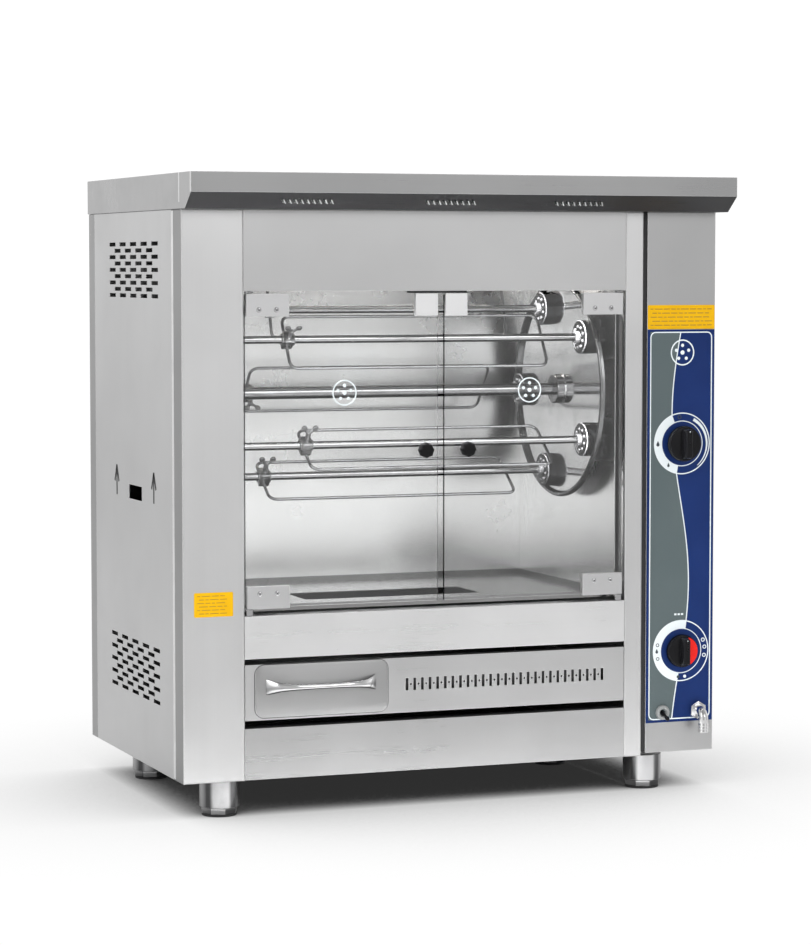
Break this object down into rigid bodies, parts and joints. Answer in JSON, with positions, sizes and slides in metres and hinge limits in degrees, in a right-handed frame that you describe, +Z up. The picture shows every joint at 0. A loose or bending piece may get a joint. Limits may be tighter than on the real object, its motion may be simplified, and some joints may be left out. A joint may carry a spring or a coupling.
{
  "type": "rotisserie oven",
  "caption": "Free-standing planetary rotisserie oven with glass doors, driven spits on carrier discs, a fat drawer and a side control box.",
  "frame": {"origin": "middle of the footprint's box, on the surface the feet stand on", "axes": "+X to the right of someone facing the doors, +Y towards the back, +Z up"},
  "size_m": [0.91, 0.593, 0.9887],
  "materials": {
    "stainless": "brushed stainless steel, vertical grain",
    "dark_stainless": "brushed stainless steel, in shade",
    "polished_steel": "mirror-polished stainless steel",
    "chrome_plate": "bright chrome plate",
    "cast_iron": "dark machined iron",
    "brass": "machined brass",
    "door_glass": "clear toughened glass",
    "black_plastic": "black moulded plastic",
    "fascia_print": "blue and grey printed overlay",
    "grey_enamel": "grey moulded and painted body",
    "ceramic": "pale ceramic burner face"
  },
  "bodies": {
    "cabinet": {"base_pan": "dark_stainless", "left_column": "stainless", "right_side_wall": "stainless", "rear_panel": "stainless", "hood": "dark_stainless", "top_front_panel": "stainless", "mid_front_panel": "stainless", "lower_front_panel": "stainless", "chamber_liner": "polished_steel", "chamber_floor": "dark_stainless", "burner": "ceramic", "gear_motor": "cast_iron", "sun_gear": "cast_iron", "drawer_runners": "dark_stainless", "control_box": "stainless", "control_fascia": "fascia_print", "gas_valve": "brass", "rotary_switch": "grey_enamel", "toggle_switch": "grey_enamel", "gas_inlet_elbow": "chrome_plate", "leg_front_left": "chrome_plate", "leg_front_right": "chrome_plate", "leg_rear_left": "chrome_plate", "leg_rear_right": "chrome_plate"},
    "left_door": {"left_door_glass": "door_glass", "left_top_hinge": "stainless", "left_bottom_hinge": "stainless", "left_strike_plate": "chrome_plate", "left_door_knob": "black_plastic"},
    "right_door": {"right_door_glass": "door_glass", "right_top_hinge": "stainless", "right_bottom_hinge": "stainless", "right_strike_plate": "chrome_plate", "right_door_knob": "black_plastic"},
    "drawer": {"drawer_front": "stainless", "drip_tray": "dark_stainless", "drawer_handle": "chrome_plate"},
    "side_cover": {"side_cover": "stainless"},
    "rotor": {"main_shaft": "polished_steel", "left_carrier": "polished_steel", "right_carrier": "polished_steel"},
    "spit_1": {"spit_1": "chrome_plate", "spit_drive_1": "chrome_plate"},
    "spit_2": {"spit_2": "chrome_plate", "spit_drive_2": "chrome_plate"},
    "spit_3": {"spit_3": "chrome_plate", "spit_drive_3": "chrome_plate"},
    "spit_4": {"spit_4": "chrome_plate", "spit_drive_4": "chrome_plate"},
    "spit_5": {"spit_5": "chrome_plate", "spit_drive_5": "chrome_plate"},
    "fork_1": {"fork_1": "chrome_plate"},
    "fork_2": {"fork_2": "chrome_plate"},
    "fork_3": {"fork_3": "chrome_plate"},
    "fork_4": {"fork_4": "chrome_plate"},
    "fork_5": {"fork_5": "chrome_plate"},
    "gas_stem": {"gas_valve_stem": "polished_steel"},
    "gas_knob": {"gas_knob": "black_plastic"},
    "switch_knob": {"switch_knob": "black_plastic"},
    "toggle_lever": {"toggle_lever": "black_plastic"}
  },
  "joints": [
    {"name": "left_door_hinge", "type": "hinge", "parent": "cabinet", "child": "left_door", "pos_m": [-0.3452, -0.2335, 0.556], "axis": [0, 0, -1], "range_deg": [0, 100]},
    {"name": "right_door_hinge", "type": "hinge", "parent": "cabinet", "child": "right_door", "pos_m": [0.2773, -0.2335, 0.556], "axis": [0, 0, 1], "range_deg": [0, 100]},
    {"name": "drawer_slide", "type": "slide", "parent": "cabinet", "child": "drawer", "axis": [0, -1, 0], "range_m": [0, 0.33]},
    {"name": "cover_lift", "type": "slide", "parent": "cabinet", "child": "side_cover", "axis": [0, 0, 1], "range_m": [0, 0.012]},
    {"name": "rotor_turn", "type": "hinge", "parent": "cabinet", "child": "rotor", "pos_m": [-0.053, -0.0365, 0.6445], "axis": [1, 0, 0], "continuous": true},
    {"name": "spit_1_turn", "type": "hinge", "parent": "rotor", "child": "spit_1", "pos_m": [-0.053, 0.01325, 0.77686], "axis": [1, 0, 0], "continuous": true},
    {"name": "spit_2_turn", "type": "hinge", "parent": "rotor", "child": "spit_2", "pos_m": [-0.053, -0.14701, 0.73272], "axis": [1, 0, 0], "continuous": true},
    {"name": "spit_3_turn", "type": "hinge", "parent": "rotor", "child": "spit_3", "pos_m": [-0.053, -0.15455, 0.56666], "axis": [1, 0, 0], "continuous": true},
    {"name": "spit_4_turn", "type": "hinge", "parent": "rotor", "child": "spit_4", "pos_m": [-0.053, 0.00105, 0.50818], "axis": [1, 0, 0], "continuous": true},
    {"name": "spit_5_turn", "type": "hinge", "parent": "rotor", "child": "spit_5", "pos_m": [-0.053, 0.10475, 0.63809], "axis": [1, 0, 0], "continuous": true},
    {"name": "fork_1_slide", "type": "slide", "parent": "spit_1", "child": "fork_1", "axis": [1, 0, 0], "range_m": [-0.09, 0.045]},
    {"name": "fork_2_slide", "type": "slide", "parent": "spit_2", "child": "fork_2", "axis": [1, 0, 0], "range_m": [-0.09, 0.045]},
    {"name": "fork_3_slide", "type": "slide", "parent": "spit_3", "child": "fork_3", "axis": [1, 0, 0], "range_m": [-0.09, 0.045]},
    {"name": "fork_4_slide", "type": "slide", "parent": "spit_4", "child": "fork_4", "axis": [1, 0, 0], "range_m": [-0.09, 0.045]},
    {"name": "fork_5_slide", "type": "slide", "parent": "spit_5", "child": "fork_5", "axis": [1, 0, 0], "range_m": [-0.09, 0.045]},
    {"name": "gas_knob_push", "type": "slide", "parent": "cabinet", "child": "gas_stem", "axis": [0, 1, 0], "range_m": [0, 0.005], "stiffness_N_per_m": 1500, "springref_m": -0.001},
    {"name": "gas_knob_turn", "type": "hinge", "parent": "gas_stem", "child": "gas_knob", "pos_m": [0.3885, -0.2465, 0.5615], "axis": [0, -1, 0], "range_deg": [0, 180]},
    {"name": "switch_knob_turn", "type": "hinge", "parent": "cabinet", "child": "switch_knob", "pos_m": [0.3885, -0.2465, 0.2245], "axis": [0, 1, 0], "range_deg": [0, 270]},
    {"name": "toggle_flip", "type": "hinge", "parent": "cabinet", "child": "toggle_lever", "pos_m": [0.356, -0.2365, 0.125], "axis": [-1, 0, 0], "range_deg": [0, 40]}
  ],
  "couplings": [
    {"joint": "spit_1_turn", "follows": "rotor_turn", "ratio": 3.3333},
    {"joint": "spit_2_turn", "follows": "rotor_turn", "ratio": 3.3333},
    {"joint": "spit_3_turn", "follows": "rotor_turn", "ratio": 3.3333},
    {"joint": "spit_4_turn", "follows": "rotor_turn", "ratio": 3.3333},
    {"joint": "spit_5_turn", "follows": "rotor_turn", "ratio": 3.3333}
  ]
}
